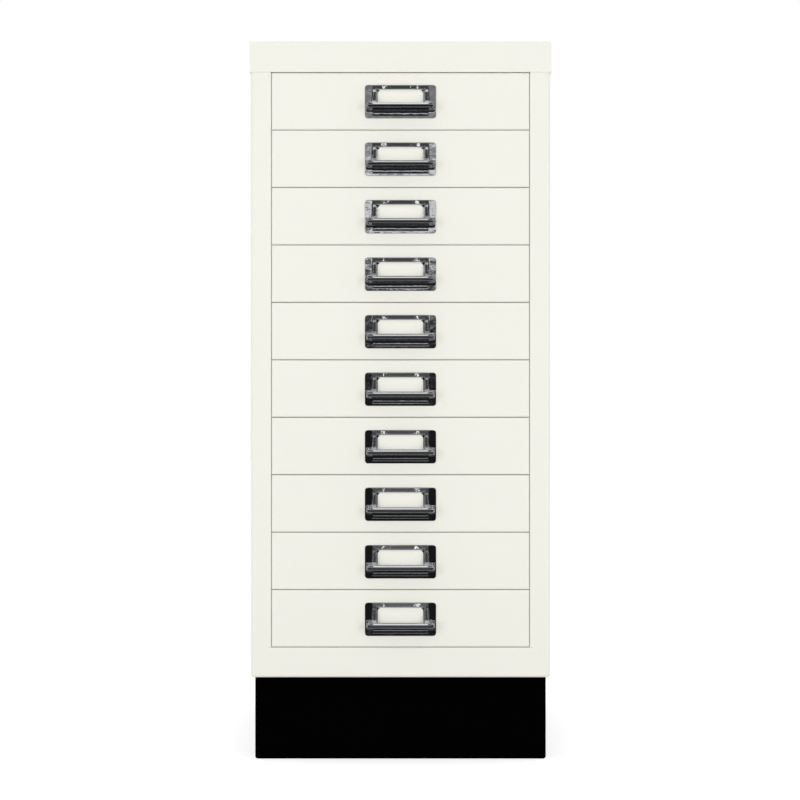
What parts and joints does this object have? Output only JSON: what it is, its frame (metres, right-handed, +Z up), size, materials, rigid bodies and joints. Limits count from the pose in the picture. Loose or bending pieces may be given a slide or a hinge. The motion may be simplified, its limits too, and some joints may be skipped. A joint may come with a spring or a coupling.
{
  "type": "multi-drawer cabinet",
  "caption": "Narrow folded-steel cabinet with a stack of shallow slide-out drawers, plated label-holder handles and a dark set-back plinth.",
  "frame": {"origin": "bottom centre of the whole cabinet's box, on the floor under the plinth", "axes": "+Z up, drawers facing -Y and sliding out along -Y, +X to the right of someone facing them"},
  "size_m": [0.28, 0.394, 0.67],
  "materials": {
    "white_paint": "satin off-white powder coat on steel sheet",
    "black_paint": "matt black powder coat on steel sheet",
    "bright_plating": "bright nickel-chrome plating on a casting",
    "zinc_steel": "bright zinc on steel",
    "card": "plain uncoated card"
  },
  "bodies": {
    "carcass": {"top_cap": "white_paint", "side_panel_left": "white_paint", "side_panel_right": "white_paint", "front_rail": "white_paint", "rear_panel": "white_paint", "base_pan": "white_paint", "rear_upright_left": "white_paint", "rear_upright_right": "white_paint", "runners_left": "zinc_steel", "runners_right": "zinc_steel", "plinth": "black_paint", "plinth_bolts": "zinc_steel", "plinth_nuts": "zinc_steel"},
    "drawer_01": {"drawer_front_01": "white_paint", "drawer_tray_01": "white_paint", "handle_01": "bright_plating", "label_card_01": "card"},
    "drawer_02": {"drawer_front_02": "white_paint", "drawer_tray_02": "white_paint", "handle_02": "bright_plating", "label_card_02": "card"},
    "drawer_03": {"drawer_front_03": "white_paint", "drawer_tray_03": "white_paint", "handle_03": "bright_plating", "label_card_03": "card"},
    "drawer_04": {"drawer_front_04": "white_paint", "drawer_tray_04": "white_paint", "handle_04": "bright_plating", "label_card_04": "card"},
    "drawer_05": {"drawer_front_05": "white_paint", "drawer_tray_05": "white_paint", "handle_05": "bright_plating", "label_card_05": "card"},
    "drawer_06": {"drawer_front_06": "white_paint", "drawer_tray_06": "white_paint", "handle_06": "bright_plating", "label_card_06": "card"},
    "drawer_07": {"drawer_front_07": "white_paint", "drawer_tray_07": "white_paint", "handle_07": "bright_plating", "label_card_07": "card"},
    "drawer_08": {"drawer_front_08": "white_paint", "drawer_tray_08": "white_paint", "handle_08": "bright_plating", "label_card_08": "card"},
    "drawer_09": {"drawer_front_09": "white_paint", "drawer_tray_09": "white_paint", "handle_09": "bright_plating", "label_card_09": "card"},
    "drawer_10": {"drawer_front_10": "white_paint", "drawer_tray_10": "white_paint", "handle_10": "bright_plating", "label_card_10": "card"}
  },
  "joints": [
    {"name": "drawer_01_slide", "type": "slide", "parent": "carcass", "child": "drawer_01", "axis": [0, -1, 0], "range_m": [0, 0.2677]},
    {"name": "drawer_02_slide", "type": "slide", "parent": "carcass", "child": "drawer_02", "axis": [0, -1, 0], "range_m": [0, 0.2677]},
    {"name": "drawer_03_slide", "type": "slide", "parent": "carcass", "child": "drawer_03", "axis": [0, -1, 0], "range_m": [0, 0.2677]},
    {"name": "drawer_04_slide", "type": "slide", "parent": "carcass", "child": "drawer_04", "axis": [0, -1, 0], "range_m": [0, 0.2677]},
    {"name": "drawer_05_slide", "type": "slide", "parent": "carcass", "child": "drawer_05", "axis": [0, -1, 0], "range_m": [0, 0.2677]},
    {"name": "drawer_06_slide", "type": "slide", "parent": "carcass", "child": "drawer_06", "axis": [0, -1, 0], "range_m": [0, 0.2677]},
    {"name": "drawer_07_slide", "type": "slide", "parent": "carcass", "child": "drawer_07", "axis": [0, -1, 0], "range_m": [0, 0.2677]},
    {"name": "drawer_08_slide", "type": "slide", "parent": "carcass", "child": "drawer_08", "axis": [0, -1, 0], "range_m": [0, 0.2677]},
    {"name": "drawer_09_slide", "type": "slide", "parent": "carcass", "child": "drawer_09", "axis": [0, -1, 0], "range_m": [0, 0.2677]},
    {"name": "drawer_10_slide", "type": "slide", "parent": "carcass", "child": "drawer_10", "axis": [0, -1, 0], "range_m": [0, 0.2677]}
  ]
}
